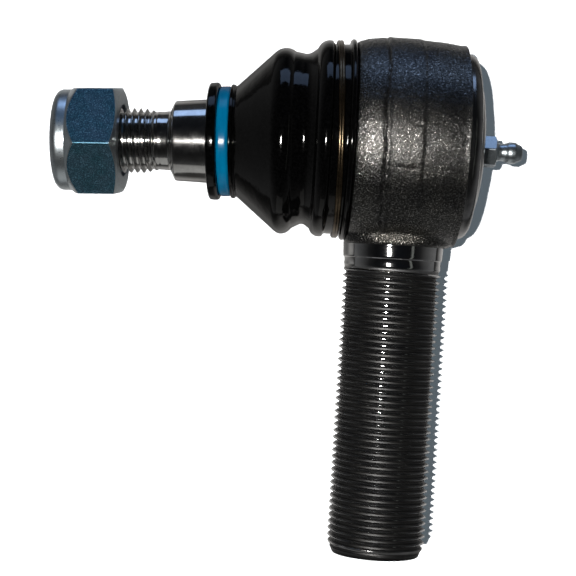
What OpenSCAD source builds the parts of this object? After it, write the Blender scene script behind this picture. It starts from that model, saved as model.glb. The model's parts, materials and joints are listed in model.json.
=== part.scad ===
// Heavy-duty tie rod end: a ball stud held in a forged socket with an external-thread shank.
// Millimetres. The origin is the ball's centre. +X is the socket's axis, out through the
// closing cap and the grease nipple, so the stud points along -X. The threaded shank points
// along -Y, and +Z is up as the part lies on a bench.
// On the stud's side, "reach" is the distance from the ball's centre.

/* [Ball joint] */
// Diameter of the stud's ball
ball_d = 36; // [35:0.5:37]
// Wall of the plastic bearing races round the ball
race_wall = 4.5; // [4:0.25:5]
// Radial gap of the parts that run on each other
run_gap = 0.05; // [0.02:0.01:0.08]
// Lean of the stud away from the socket's axis, as the part lies
stud_lean = 4.5; // [0:0.5:8]
// Direction of that lean, turned from the shank's side towards the underside
lean_turn = 55; // [0:5:90]
// Greatest lean that the socket's mouth allows, either way
swing_max = 20; // [15:1:21]

/* [Housing] */
// Largest diameter of the forged head
head_d = 64.2; // [63:0.2:67]
// Ball's centre to the head's front face
head_front = 15; // [14.5:0.1:15.5]
// Ball's centre to the end of the forged surface, where the rolled lip starts
head_back = 18.2; // [17.8:0.1:18.4]
// Diameter of the spigot that carries the boot
spigot_d = 53; // [52.6:0.1:53.2]

/* [Shank] */
// Nominal thread diameter of the shank
shank_d = 30; // [28:1:32]
// Thread pitch of the shank
shank_pitch = 2; // [1.5:0.5:2]
// Diameter where the forged shank leaves the head
shank_root_d = 30.8; // [30.4:0.2:31.4]
// Diameter of the plain neck between head and thread
shank_neck_d = 29.6; // [27:0.2:29.6]
// Ball's centre to the first thread
shank_thread_start = 38; // [36:1:42]
// Ball's centre to the last full thread crest
shank_thread_end = 123; // [100:1:140]
// Length of the chamfer at the shank's end
shank_chamfer = 3.6; // [2:0.2:4]

/* [Ball stud] */
// Diameter of the neck behind the ball
neck_d = 21; // [20:0.5:21.5]
// Diameter of the seal seat, the taper's large end
seat_d = 26; // [25.5:0.5:26.5]
// Ball's centre to the taper's large end
taper_start = 57.6; // [57.2:0.2:58.4]
// Length of the 1:8 taper
taper_len = 11.4; // [11:0.2:14]
// Nominal thread diameter of the stud
stud_d = 20; // [18:1:20]
// Thread pitch of the stud
stud_pitch = 2; // [1.5:0.5:2]
// Ball's centre to the first thread
stud_thread_start = 76.5; // [76:0.5:78]
// Ball's centre to the stud's end
stud_reach = 104.4; // [103.5:0.1:104.6]

/* [Lock nut] */
// Width across flats
nut_af = 32; // [30:1:34]
// Ball's centre to the nut's bearing face
nut_face = 85.4; // [85:0.2:87]
// Height of the hexagon
nut_hex_h = 16; // [14:0.5:16]
// Height of the round collar that holds the nylon insert
nut_collar_h = 4.6; // [4.6:0.2:6]
// Length of the chamfer that cuts the hexagon's corners back at the bearing face
nut_chamfer = 1.8; // [1.6:0.2:4]
// Length of the longer chamfer on the collar's side
nut_back_chamfer = 3.5; // [3:0.5:8]
// Turn of the hexagon's upper corner towards the shank's side
nut_turn = 7; // [0:1:30]

/* [Boot] */
// Wall of the rubber boot
boot_wall = 2.2; // [1.8:0.1:2.4]
// Diameter of the wire of the clamp
clamp_wire_d = 1.2; // [1:0.1:1.4]
// Lean of the clamp on the spigot, pulled over by the boot
clamp_lean = 2; // [0:0.5:2.5]

/* [Grease nipple] */
// Width across flats
nipple_af = 9; // [8:0.5:10]
// Diameter of the head that a grease gun grips
nipple_head_d = 6.6; // [6.5:0.1:7]
// Ball's centre to the nipple's tip
nipple_reach = 37.8; // [37.4:0.2:38.4]
// Offset of the nipple from the cap's centre, towards the shank
nipple_offset = 0.9; // [0:0.1:1.5]
// Turn of the hexagon's upper corner away from the shank
nipple_turn = 5; // [0:1:30]

/* [Hidden] */
$fn = 96;
eps = 0.01;

forged = "#4a4d52";
turned = "#5f6367";
zinc = "#9fb0bd";
bright = "#a9abad";
rubber = "#111214";

// Ball joint
ball_r = ball_d / 2;
race_inner_r = ball_r + run_gap;
race_outer_r = ball_r + race_wall;
race_bore_r = race_outer_r + run_gap;
race_front_x = -9.4;
race_split = 0.4;
race_back_x = 8.8;
pole_flat_x = 15.6;

// Housing
head_r = head_d / 2;
head_edge = 1.2;
front_r = head_r - 1.8;
back_r = head_r - 1.3;
lip_r = back_r - 2.4;
lip_edge = 3.2;
lip_end_x = 22.2;
lip_inner_r = 24.2;
cap_x = 19.5;
cap_edge_h = 2.1;
cap_r = 25.5;
spigot_r = spigot_d / 2;
spigot_x = -22;
seal_groove_r = [22.9, 25];
seal_groove_h = 1.9;
seal_wire_r = 0.9;
shank_r = shank_d / 2;
shank_end = shank_thread_end + shank_chamfer;
shank_root = [35, 35.7];

// Mouth: the neck's edge at the greatest lean, with room to spare
mouth_gap = 0.8;
function mouth_r(x) =
    let (reach = (-x + neck_d / 2 * sin(swing_max)) / cos(swing_max))
    reach * sin(swing_max) + neck_d / 2 * cos(swing_max) + mouth_gap;

// Ball stud
neck_r = neck_d / 2;
seat_r = seat_d / 2;
seat_start = 44;
flare_start = 38;
taper_end = taper_start + taper_len;
taper_small_r = seat_r - taper_len / 16;
undercut_r = 8.95;
shoulder_end = taper_end + 1.4;
stud_r = stud_d / 2;

// Lock nut
nut_end = nut_face + nut_hex_h + nut_collar_h;
nut_bore_r = stud_r + 0.06;
nut_collar_r = nut_af / 2 - 0.4;
insert_x = nut_face + nut_hex_h + 0.1;
insert_h = 3;
insert_r = 13;

// Boot, from its large end on the spigot to its small end on the stud
boot_start = head_front + 0.1;
boot_bend_start = 22;
boot_bend_end = 40;
boot_sides = 60;
sleeve_r = 14;
sleeve_start = 47;
sleeve_end = 57.4;
groove_start = 51.6;
groove_end = 55.3;
groove_r = 15.4;
clamp_r = 29.7;
clamp_reaches = [18.5, 20];

// Grease nipple
nipple_base_x = 24.4;
nipple_hex_h = 5.6;
nipple_thread_r = 4;
nipple_ball_r = 1.2;
nipple_head_r = nipple_head_d / 2;

// Springs
spring_mean_r = 18.8;
spring_wire_r = 1.3;

function arc(centre, r, from, to, steps = 8) =
    [for (i = [0 : steps])
        let (a = from + (to - from) * i / steps)
        centre + r * [cos(a), sin(a)]];

function smooth(t) =
    let (u = max(0, min(1, t)))
    u * u * (3 - 2 * u);

// A solid of revolution about X. Its outline is a list of [x, radius].
module turned_on_x(outline) {
    rotate([0, 90, 0])
        rotate_extrude()
            polygon([for (p = outline) [p[1], p[0]]]);
}

// A solid of revolution about -Y. Its outline is a list of [distance down, radius].
module turned_on_shank(outline) {
    rotate([90, 0, 0])
        rotate_extrude()
            polygon([for (p = outline) [p[1], p[0]]]);
}

// Places a child that is drawn along +X by its reach, as it leans with the stud.
module on_stud() {
    rotate([lean_turn, 0, 0])
        rotate([0, 0, stud_lean])
            rotate([-lean_turn, 0, 0])
                mirror([1, 0, 0])
                    children();
}

// Places a child that is drawn about the socket's axis at the nipple's hole.
module at_nipple() {
    translate([0, -nipple_offset, 0])
        children();
}

// Outline of a row of thread ridges, as [distance, radius] from the first root to the last.
// Each ridge has 60 degree flanks and a crest an eighth of the pitch wide.
function thread_ridges(start, end, pitch, crest_r) =
    let (depth = 0.6134 * pitch,
         flank = depth * tan(30),
         crest = pitch / 8,
         ridges = floor((end - start) / pitch))
    [for (i = [0 : ridges - 1], k = [0 : 3])
        let (at = start + i * pitch + [0, flank, flank + crest, 2 * flank + crest][k])
        [at, crest_r - (k == 0 || k == 3 ? depth : 0)]];

// A round wire coiled about X, from one flat end to the other.
module coil(mean_r, wire_r, x0, x1, turns, sides = 8, per_turn = 20) {
    rings = ceil(turns * per_turn);
    points = [for (i = [0 : rings], j = [0 : sides - 1])
        let (a = 360 * turns * i / rings,
             b = 360 * j / sides,
             r = mean_r + wire_r * cos(b),
             x = x0 + wire_r + (x1 - x0 - 2 * wire_r) * i / rings + wire_r * sin(b))
        [x, r * cos(a), r * sin(a)]];
    walls = [for (i = [0 : rings - 1], j = [0 : sides - 1], half = [0, 1])
        let (k = (j + 1) % sides, a = i * sides, b = a + sides)
        half == 0 ? [a + j, a + k, b + k] : [a + j, b + k, b + j]];
    ends = [[for (j = [0 : sides - 1]) sides - 1 - j], [for (j = [0 : sides - 1]) rings * sides + j]];
    polyhedron(points, concat(walls, ends), convexity = 10);
}

// Forged head with its spigot, bearing bore, cap seat, rolled lip and threaded shank.
module housing() {
    color(forged) {
        difference() {
            union() {
                turned_on_x(concat(
                    [[spigot_x, 0], [spigot_x, spigot_r - 0.6], [spigot_x + 0.6, spigot_r],
                     [-head_front, spigot_r]],
                    arc([-head_front + head_edge, front_r - head_edge + 0.6], head_edge, 180, 100, 4),
                    [[-3, head_r], [2, head_r], [head_back, back_r], [head_back, lip_r]],
                    arc([lip_end_x - lip_edge, lip_r - lip_edge], lip_edge, 90, 10, 6),
                    [[lip_end_x, lip_inner_r], [lip_end_x, 0]]));
                turned_on_shank(concat(
                    [[0, 0], [0, shank_root_d / 2], [shank_root[0], shank_root_d / 2],
                     [shank_root[1], shank_neck_d / 2], [shank_thread_start, shank_neck_d / 2]],
                    thread_ridges(shank_thread_start, shank_thread_end, shank_pitch, shank_r),
                    [[shank_end, shank_r - 1.7], [shank_end, 0]]));
            }
            turned_on_x([[spigot_x - eps, 0], [spigot_x - eps, mouth_r(spigot_x)],
                         [race_front_x, mouth_r(race_front_x)], [race_front_x, race_bore_r],
                         [cap_x, race_bore_r], [cap_x, cap_r], [cap_x + cap_edge_h, cap_r],
                         [cap_x + cap_edge_h, lip_inner_r], [lip_end_x + eps, lip_inner_r],
                         [lip_end_x + eps, 0]]);
            turned_on_x([[cap_x - seal_groove_h, seal_groove_r[0]], [cap_x - seal_groove_h, seal_groove_r[1]],
                         [cap_x + eps, seal_groove_r[1]], [cap_x + eps, seal_groove_r[0]]]);
        }
    }
}

// Pressed steel plate that closes the socket, held under the rolled lip.
module closing_cap() {
    rim = cap_r - run_gap;
    color(turned)
        difference() {
            turned_on_x([[cap_x + eps, 0], [cap_x + eps, rim], [cap_x + cap_edge_h - eps, rim],
                         [cap_x + cap_edge_h - eps, lip_inner_r - 0.6], [nipple_base_x - 0.6, 19.5],
                         [nipple_base_x - 0.1, 17.5], [nipple_base_x, 16], [nipple_base_x, 0]]);
            at_nipple()
                rotate([0, 90, 0])
                    translate([0, 0, cap_x - 1])
                        cylinder(r = nipple_thread_r + run_gap, h = 10);
            turned_on_x([[cap_x - 1, 8], [cap_x - 1, 16.6], [nipple_base_x - 2.8, 15.4],
                         [nipple_base_x - 2.8, 8]]);
        }
}

// Rubber ring in the groove under the cap.
module cap_seal() {
    color(rubber)
        rotate([0, 90, 0])
            translate([0, 0, cap_x - seal_groove_h / 2])
                rotate_extrude()
                    translate([(seal_groove_r[0] + seal_groove_r[1]) / 2, 0])
                        circle(r = seal_wire_r, $fn = 32);
}

// Greasing point: threaded end, hexagon, neck and a head with a seat for its ball.
module grease_nipple() {
    tip = nipple_reach;
    hex_end = nipple_base_x + nipple_hex_h;
    color(zinc)
        at_nipple()
            difference() {
                union() {
                    turned_on_x([[cap_x + 0.2, 0], [cap_x + 0.2, nipple_thread_r - 0.6],
                                 [cap_x + 0.8, nipple_thread_r], [nipple_base_x + 0.5, nipple_thread_r],
                                 [nipple_base_x + 0.5, 0]]);
                    intersection() {
                        rotate([-nipple_turn, 0, 0])
                            rotate([0, 90, 0])
                                translate([0, 0, nipple_base_x])
                                    cylinder(d = nipple_af / cos(30), h = nipple_hex_h, $fn = 6);
                        turned_on_x([[nipple_base_x, 0], [nipple_base_x, nipple_af * 0.53],
                                     [nipple_base_x + 0.5, nipple_af], [hex_end - 1, nipple_af],
                                     [hex_end, nipple_af * 0.47], [hex_end, 0]]);
                    }
                    turned_on_x([[hex_end - 0.1, 0], [hex_end - 0.1, 2.7], [hex_end + 2.6, 2.7],
                                 [hex_end + 3.6, nipple_head_r], [tip - 2.2, nipple_head_r],
                                 [tip - 0.9, 2.6], [tip, 2.1], [tip, 0]]);
                }
                turned_on_x([[cap_x, 0], [cap_x, 1.5], [tip - 1, 1.5], [tip - 0.4, 0.8],
                             [tip + eps, 0.8], [tip + eps, 0]]);
            }
}

// Check ball behind the nipple's seat.
module nipple_ball() {
    color(bright)
        at_nipple()
            translate([nipple_reach - 1.75, 0, 0])
                sphere(r = nipple_ball_r, $fn = 32);
}

// Spring that presses the check ball onto its seat.
module nipple_spring() {
    color(bright)
        at_nipple()
            coil(0.95, 0.2, nipple_base_x, nipple_reach - 3.1, 6, sides = 6, per_turn = 12);
}

// Spring that keeps the races tight on the ball.
module pressure_spring() {
    color(bright)
        coil(spring_mean_r, spring_wire_r, race_back_x + 1.35, cap_x - 0.05, 2.1, per_turn = 28);
}

// Flat steel ring that spreads the spring's load over the lower race.
module spring_plate() {
    color(bright)
        turned_on_x([[race_back_x + 0.02, 16], [race_back_x + 0.02, race_outer_r - 0.2],
                     [race_back_x + 1.2, race_outer_r - 0.2], [race_back_x + 1.2, 16]]);
}

// One of the two plastic bearing halves, between two planes across the socket.
module race(x0, x1) {
    color("ivory")
        difference() {
            turned_on_x([[x0, 0], [x0, race_outer_r], [x1, race_outer_r], [x1, 0]]);
            sphere(r = race_inner_r);
        }
}

module upper_race() {
    race(race_front_x + 0.02, -race_split);
}

module lower_race() {
    race(race_split, race_back_x);
}

// Ball, neck, seal seat, taper, undercut and threaded end in one piece.
module ball_stud() {
    color(bright)
        on_stud()
            difference() {
                union() {
                    sphere(r = ball_r);
                    turned_on_x(concat(
                        [[0, 0], [0, neck_r], [flare_start, neck_r], [seat_start, seat_r],
                         [taper_start, seat_r], [taper_end, taper_small_r],
                         [shoulder_end, undercut_r], [stud_thread_start, undercut_r]],
                        thread_ridges(stud_thread_start, stud_reach - 0.5, stud_pitch, stud_r),
                        [[stud_reach, stud_r - 1.6], [stud_reach, 0]]));
                }
                translate([-pole_flat_x - 10, 0, 0])
                    cube([20, 40, 40], center = true);
            }
}

// Outline of the boot's rubber as [reach, radius]: outside first, then back along the inside.
function boot_outline() =
    concat(
        arc([boot_start + 0.9, 29.9], 0.9, 180, 0, 6),
        [[boot_start + 1.8, 29.05], [21.9, 29.05]],
        arc([23.2, 26.7], 3.4, 112, 15),
        arc([29.3, 28.6], 2.5, 240, 300, 4),
        arc([35.6, 24.5], 4, 140, 50),
        [[50.3, 16.9], [50.7, 17.6], [groove_start, 17.6], [groove_start, groove_r],
         [groove_end, groove_r], [groove_end, 17.8], [58.2, 18], [58.4, 17.6], [58.4, 14.1],
         [sleeve_start - 1, 14.1], [45.4, 21.4 - boot_wall]],
        arc([35.6, 24.5], 4 - boot_wall, 50, 140, 4),
        [[29.3, 26.1 - boot_wall]],
        arc([23.2, 26.7], 3.4 - boot_wall, 15, 90, 4),
        [[-spigot_x + 0.1, spigot_r + 0.15], [boot_start, spigot_r + 0.15]]);

// Rubber bellows. Each ring of the outline leans by its share of the stud's lean.
module dust_boot() {
    outline = boot_outline();
    rings = len(outline);
    points = [for (p = outline, j = [0 : boot_sides - 1])
        let (bend = stud_lean * smooth((p[0] - boot_bend_start) / (boot_bend_end - boot_bend_start)),
             a = 360 * j / boot_sides,
             across = p[1] * cos(a))
        [-p[0] * cos(bend) + across * sin(bend),
         -p[0] * sin(bend) - across * cos(bend),
         p[1] * sin(a)]];
    skin = [for (i = [0 : rings - 1], j = [0 : boot_sides - 1], half = [0, 1])
        let (k = (j + 1) % boot_sides, a = i * boot_sides, b = ((i + 1) % rings) * boot_sides)
        half == 0 ? [a + j, b + j, b + k] : [a + j, b + k, a + k]];
    color(rubber)
        rotate([lean_turn, 0, 0])
            polyhedron(points, skin, convexity = 10);
}

// Two turns of wire that hold the boot's large end on the spigot.
module boot_clamp_wire() {
    middle = (clamp_reaches[0] + clamp_reaches[1]) / 2;
    color("#7a5c33")
        translate([-middle, 0, 0])
            rotate([0, 0, clamp_lean])
                for (reach = clamp_reaches)
                    translate([middle - reach, 0, 0])
                        rotate([0, 90, 0])
                            rotate_extrude()
                                translate([clamp_r, 0])
                                    circle(d = clamp_wire_d, $fn = 24);
}

// Bush in the boot's small end, which the stud turns in.
module boot_neck_sleeve() {
    color(turned)
        on_stud()
            turned_on_x([[sleeve_start, seat_r + run_gap], [sleeve_start, sleeve_r],
                         [sleeve_end, sleeve_r], [sleeve_end, seat_r + run_gap]]);
}

// Blue tension ring in the groove of the boot's small end.
module boot_ring() {
    color("#0073af")
        on_stud()
            turned_on_x([[groove_start + 0.05, groove_r + run_gap], [groove_start + 0.05, 16.7],
                         [groove_start + 0.35, 17], [groove_end - 0.35, 17],
                         [groove_end - 0.05, 16.7], [groove_end - 0.05, groove_r + run_gap]]);
}

// Prevailing-torque nut: hexagon with chamfered corners and a collar rolled over the insert.
module lock_nut() {
    hex_end = nut_face + nut_hex_h;
    corner_r = nut_af / 2 / cos(30);
    color(zinc)
        on_stud()
            difference() {
                union() {
                    intersection() {
                        rotate([nut_turn, 0, 0])
                            rotate([0, 90, 0])
                                translate([0, 0, nut_face])
                                    cylinder(r = corner_r, h = nut_hex_h, $fn = 6);
                        turned_on_x([[nut_face, 0], [nut_face, nut_af / 2 - 0.5],
                                     [nut_face + nut_chamfer, corner_r + 0.3],
                                     [hex_end - nut_back_chamfer, corner_r + 0.3],
                                     [hex_end, nut_af / 2 - 0.5], [hex_end, 0]]);
                    }
                    turned_on_x(concat(
                        [[hex_end - 1, 0], [hex_end - 1, nut_collar_r]],
                        arc([nut_end - 2, nut_collar_r - 2], 2, 90, 10, 6),
                        [[nut_end, 11.2], [nut_end, 0]]));
                }
                turned_on_x([[nut_face - eps, 0], [nut_face - eps, nut_bore_r + 0.9],
                             [nut_face + 0.9, nut_bore_r], [insert_x, nut_bore_r],
                             [insert_x, insert_r + run_gap], [insert_x + insert_h, insert_r + run_gap],
                             [nut_end - 0.8, 11.4], [nut_end + eps, 11.4], [nut_end + eps, 0]]);
            }
}

// Nylon ring that grips the thread. It carries the nut along the stud.
module nut_insert() {
    color("#d8d5c8")
        on_stud()
            turned_on_x([[insert_x + 0.05, nut_bore_r], [insert_x + 0.05, insert_r],
                         [insert_x + insert_h - 0.05, insert_r],
                         [insert_x + insert_h - 0.05, nut_bore_r]]);
}

housing();
closing_cap();
cap_seal();
grease_nipple();
nipple_ball();
nipple_spring();
pressure_spring();
spring_plate();
lower_race();
upper_race();
ball_stud();
dust_boot();
boot_clamp_wire();
boot_neck_sleeve();
boot_ring();
lock_nut();
nut_insert();
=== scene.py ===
"""The looks of a heavy-duty tie rod end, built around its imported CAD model.

Shapes are worked out in millimetres in the CAD model's own frame: the origin is the ball's
centre, +X the socket's axis, -Y the threaded shank and +Z up. They become metres in skin_piece.
"""

import json
import math

import bmesh
import bpy
import numpy as np
from mathutils import Matrix, Vector, noise

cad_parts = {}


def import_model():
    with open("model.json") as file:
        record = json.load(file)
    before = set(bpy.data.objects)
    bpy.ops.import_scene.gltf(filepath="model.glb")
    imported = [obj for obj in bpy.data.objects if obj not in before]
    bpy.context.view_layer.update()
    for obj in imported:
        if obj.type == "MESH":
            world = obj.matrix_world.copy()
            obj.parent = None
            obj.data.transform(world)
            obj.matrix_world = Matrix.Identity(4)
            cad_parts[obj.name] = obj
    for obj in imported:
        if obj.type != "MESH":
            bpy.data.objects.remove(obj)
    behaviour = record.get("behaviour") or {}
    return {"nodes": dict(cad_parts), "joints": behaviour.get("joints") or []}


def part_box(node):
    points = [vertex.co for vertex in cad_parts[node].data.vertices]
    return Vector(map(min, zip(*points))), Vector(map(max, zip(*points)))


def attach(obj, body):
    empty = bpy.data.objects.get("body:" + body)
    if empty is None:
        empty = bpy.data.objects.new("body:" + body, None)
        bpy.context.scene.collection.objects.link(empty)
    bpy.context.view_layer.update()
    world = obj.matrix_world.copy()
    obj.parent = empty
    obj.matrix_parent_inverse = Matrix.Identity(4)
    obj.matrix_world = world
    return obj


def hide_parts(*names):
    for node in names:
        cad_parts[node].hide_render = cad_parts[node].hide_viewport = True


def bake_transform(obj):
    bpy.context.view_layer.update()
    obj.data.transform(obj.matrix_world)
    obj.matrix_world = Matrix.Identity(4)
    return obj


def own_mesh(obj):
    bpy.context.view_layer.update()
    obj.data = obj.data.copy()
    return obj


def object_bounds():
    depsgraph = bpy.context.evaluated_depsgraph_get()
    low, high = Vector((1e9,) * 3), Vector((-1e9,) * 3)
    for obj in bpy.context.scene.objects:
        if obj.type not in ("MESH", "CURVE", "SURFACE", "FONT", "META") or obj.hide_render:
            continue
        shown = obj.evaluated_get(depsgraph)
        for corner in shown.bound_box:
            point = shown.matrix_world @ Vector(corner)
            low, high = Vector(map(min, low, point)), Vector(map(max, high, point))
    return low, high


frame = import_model()
cad_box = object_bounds()

MM = 0.001


# ---------------------------------------------------------------- sizes, in millimetres
#
# A size that ends in _R is a radius. Along the socket they are X, along the shank and the stud
# they are distances from the ball's centre.

def node_box(node):
    """Lowest and highest corner of a CAD node, in millimetres."""
    low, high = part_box(node)
    return low / MM, high / MM


HOUSING_LOW, HOUSING_HIGH = node_box("housing")
HEAD_R = HOUSING_HIGH.z
LIP_END = HOUSING_HIGH.x
SPIGOT_END = HOUSING_LOW.x
SHANK_END = -HOUSING_LOW.y

HEAD_FRONT = -15
HEAD_BACK = 18.2
HEAD_FRONT_R = 30.3
HEAD_BACK_R = 30.8
SPIGOT_R = 26.5
LIP_R = 28.4
LIP_EDGE = 3.2
LIP_INNER_R = 24.2
CAP_X = 19.5
CAP_R = 25.45
CAP_THICK = 2.1
CAP_HOLE_R = 4.05
SEAL_GROOVE = (22.9, 25)
SEAL_DEPTH = 1.9
BEARING_R = 22.55
BEARING_FROM = -9.4
OPENING_R = 15.5

ROOT_FROM = 31.6
ROOT_R = 15.4
NECK_FROM = 35.7
NECK_R = 14.8
SHANK_R = 15
SHANK_THREAD = (37.6, 123)
PITCH = 2
THREAD_DEPTH = 0.6134 * PITCH
SHANK_TIP_R = 13.3

BALL_R = 18
STUD_NECK_R = 10.5
SEAT_R = 13
TAPER = (57.6, 69)
TAPER_SMALL_R = SEAT_R - (TAPER[1] - TAPER[0]) / 16
UNDERCUT_R = 8.95
STUD_R = 10
STUD_THREAD = (73.2, 102.8)
STUD_END = 104.4
STUD_TIP_R = 8.4

NUT_FACE = 85.4
NUT_HEX_END = 101.4
NUT_END = 106
NUT_FLATS = 32
NUT_COLLAR_R = 15.6
NUT_BORE_R = 10.06
NUT_TURN = math.radians(7)
NUT_CHAMFERS = (1.8, 3.5)
INSERT = (101.55, 104.45)
INSERT_R = 13

BOOT_WALL = 2.2
BOOT_BEND = (22, 40)
GROOVE = (51.6, 55.3)
GROOVE_R = 15.4
RING_R = 17
CLAMP_R = 29.7
CLAMP_REACHES = (18.5, 20)
CLAMP_WIRE_R = 0.6
CLAMP_LEAN = 2

NIPPLE_FLATS = 9
NIPPLE_BASE = 24.4
NIPPLE_HEX_END = 30
NIPPLE_TIP = node_box("grease_nipple")[1].x
NIPPLE_HEAD_R = 3.3
NIPPLE_OFFSET = 0.9
NIPPLE_TURN = math.radians(5)

# each spring's wire radius, its turns, the travel it takes up and the X of its fixed end
WEAR_SPRING = (1.3, 2.1, 0.6, 19.45)
CHECK_SPRING = (0.2, 6, 0.8, 24.4)


def joint_axis(name):
    """Unit axis of a joint of the record."""
    return Vector(next(j["axis"] for j in frame["joints"] if j["name"] == name)).normalized()


# The stud points away from the spin axis, and leans by so much from the socket's axis
STUD_OUT = -joint_axis("stud_spin")
STUD_LEAN = Vector((-1, 0, 0)).angle(STUD_OUT)
LEAN_AXIS = Vector((-1, 0, 0)).cross(STUD_OUT).normalized()
STUD_TURN = Matrix.Rotation(STUD_LEAN, 3, LEAN_AXIS)


# ---------------------------------------------------------------- outlines

def smooth(t):
    t = np.clip(t, 0, 1)
    return t * t * (3 - 2 * t)


def arc(centre, radius, start, end, steps=8):
    """Points on an arc, between two angles in degrees."""
    turns = np.radians(np.linspace(start, end, steps + 1))
    return [(centre[0] + radius * math.cos(a), centre[1] + radius * math.sin(a)) for a in turns]


def rounded(outline, radius=0.25, steps=3, closed=False):
    """Cuts each corner of an outline with a small curve, so that its edge catches the light."""
    points = [Vector(p) for p in outline]
    out, last = [], len(points) - 1
    for i, corner in enumerate(points):
        if not closed and i in (0, last):
            out.append(tuple(corner))
            continue
        before, after = points[i - 1] - corner, points[(i + 1) % (last + 1)] - corner
        if before.length < 1e-6 or after.length < 1e-6 or before.angle(after) > math.radians(168):
            out.append(tuple(corner))
            continue
        a = corner + before.normalized() * min(radius, before.length * 0.4)
        b = corner + after.normalized() * min(radius, after.length * 0.4)
        for t in np.linspace(0, 1, steps + 1):
            out.append(tuple((1 - t) ** 2 * a + 2 * t * (1 - t) * corner + t * t * b))
    return out


def dense(outline, step, closed=False):
    """Adds points along the long stretches of an outline."""
    out = []
    ends = outline[1:] + outline[:1] if closed else outline[1:]
    for a, b in zip(outline, ends):
        cuts = max(1, math.ceil(math.dist(a, b) / step))
        out += [tuple(np.array(a) + (np.array(b) - np.array(a)) * k / cuts) for k in range(cuts)]
    return out if closed else out + [outline[-1]]


# ---------------------------------------------------------------- skins

def around_x(outline, sides):
    """Rings about X of an outline of (x, radius) points."""
    turns = np.linspace(0, 2 * np.pi, sides, endpoint=False)
    x, r = np.array(outline).T
    rings = np.empty((len(x), sides, 3))
    rings[:, :, 0] = x[:, None]
    rings[:, :, 1] = r[:, None] * np.cos(turns)
    rings[:, :, 2] = r[:, None] * np.sin(turns)
    return rings


def along_stud(outline, sides):
    """Rings about the leaning stud of an outline of (reach, radius) points."""
    rings = around_x(outline, sides)
    rings[:, :, 0] *= -1
    return rings @ np.array(STUD_TURN).T


def skin_faces(rows, columns, loop, helix, first=0):
    """Quads between neighbouring rings. A loop also joins the last ring to the first.

    A helix has a last column of its own, which lies on the first column's next turn.
    """
    count = rows if loop else rows - 1
    i, j = np.meshgrid(np.arange(count), np.arange(columns - 1 if helix else columns), indexing="ij")
    a = i * columns + j
    b = i * columns + (j + 1) % columns
    c = ((i + 1) % rows) * columns + (j + 1) % columns
    d = ((i + 1) % rows) * columns + j
    return first + np.stack([a, b, c, d], axis=-1).reshape(-1, 4)


def skin_piece(name, skins, materials, crease=35):
    """One mesh object from skins, each (rings, "loop", "tube" or "helix", material index)."""
    points, faces, indices, first = [], [], [], 0
    for rings, form, index in skins:
        rows, columns = rings.shape[:2]
        points.append(rings.reshape(-1, 3) * MM)
        new = skin_faces(rows, columns, form == "loop", form == "helix", first)
        faces.append(new)
        indices.append(np.full(len(new), index) if np.isscalar(index) else np.repeat(index, columns))
        first += rows * columns
    mesh = bpy.data.meshes.new(name)
    mesh.from_pydata(np.concatenate(points).tolist(), [], np.concatenate(faces).tolist())
    mesh.polygons.foreach_set("material_index", np.concatenate(indices).astype(np.int32))
    for item in materials:
        mesh.materials.append(item)
    tidy_mesh(mesh)
    mesh.polygons.foreach_set("use_smooth", [True] * len(mesh.polygons))
    mesh.set_sharp_from_angle(angle=math.radians(crease))
    piece = bpy.data.objects.new(name, mesh)
    bpy.context.scene.collection.objects.link(piece)
    return piece


def tidy_mesh(mesh):
    """Joins points that meet, drops faces with no area and turns every face outward."""
    work = bmesh.new()
    work.from_mesh(mesh)
    bmesh.ops.remove_doubles(work, verts=work.verts, dist=2e-7)
    bmesh.ops.dissolve_degenerate(work, edges=work.edges, dist=1e-7)
    bmesh.ops.recalc_face_normals(work, faces=work.faces)
    work.to_mesh(mesh)
    work.free()


def rough(rings, size, height, seed):
    """Pushes points in and out along their own radius about X by smooth noise."""
    shift = Vector((seed * 7.3, seed * 3.1, seed * 5.7))
    flat = rings.reshape(-1, 3)
    push = np.array([noise.noise(Vector(p) / size + shift) for p in flat]) * height
    radius = np.maximum(np.hypot(flat[:, 1], flat[:, 2]), 1)
    flat[:, 1:] *= (1 + push / radius)[:, None]
    return flat.reshape(rings.shape)


def thread_rows(start, end, sides, root, crest, blank):
    """Rings of a thread whose rows follow the helix, as (distance, radius) grids.

    From the first column to the last the distance grows by a pitch, so the way in which the
    columns turn gives the thread its hand. root and crest give the radii of the groove and the
    ridge at a distance, and blank the radius of the bar that the thread is cut in.
    """
    flank = THREAD_DEPTH * math.tan(math.radians(30))
    top = PITCH - 2 * flank - PITCH / 4
    marks = [0, 0.06, 0.3, 0.5, 0.7, 0.94, 1]
    phases = [m * flank for m in marks] + [flank + top + m * flank for m in marks]
    heights = [smooth(m) * 0.25 + m * 0.75 for m in marks]
    heights += heights[::-1]
    rows = math.ceil((end - start) / PITCH) + 2
    base = np.array([start + (k - 1) * PITCH + p for k in range(rows) for p in phases])
    lift = np.tile(heights, rows)[:, None]
    at = np.clip(base[:, None] + PITCH * np.linspace(0, 1, sides + 1), start, end)
    low, high = root(at), crest(at)
    return at, np.minimum(low + (high - low) * lift, blank(at))


# ---------------------------------------------------------------- materials

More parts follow.
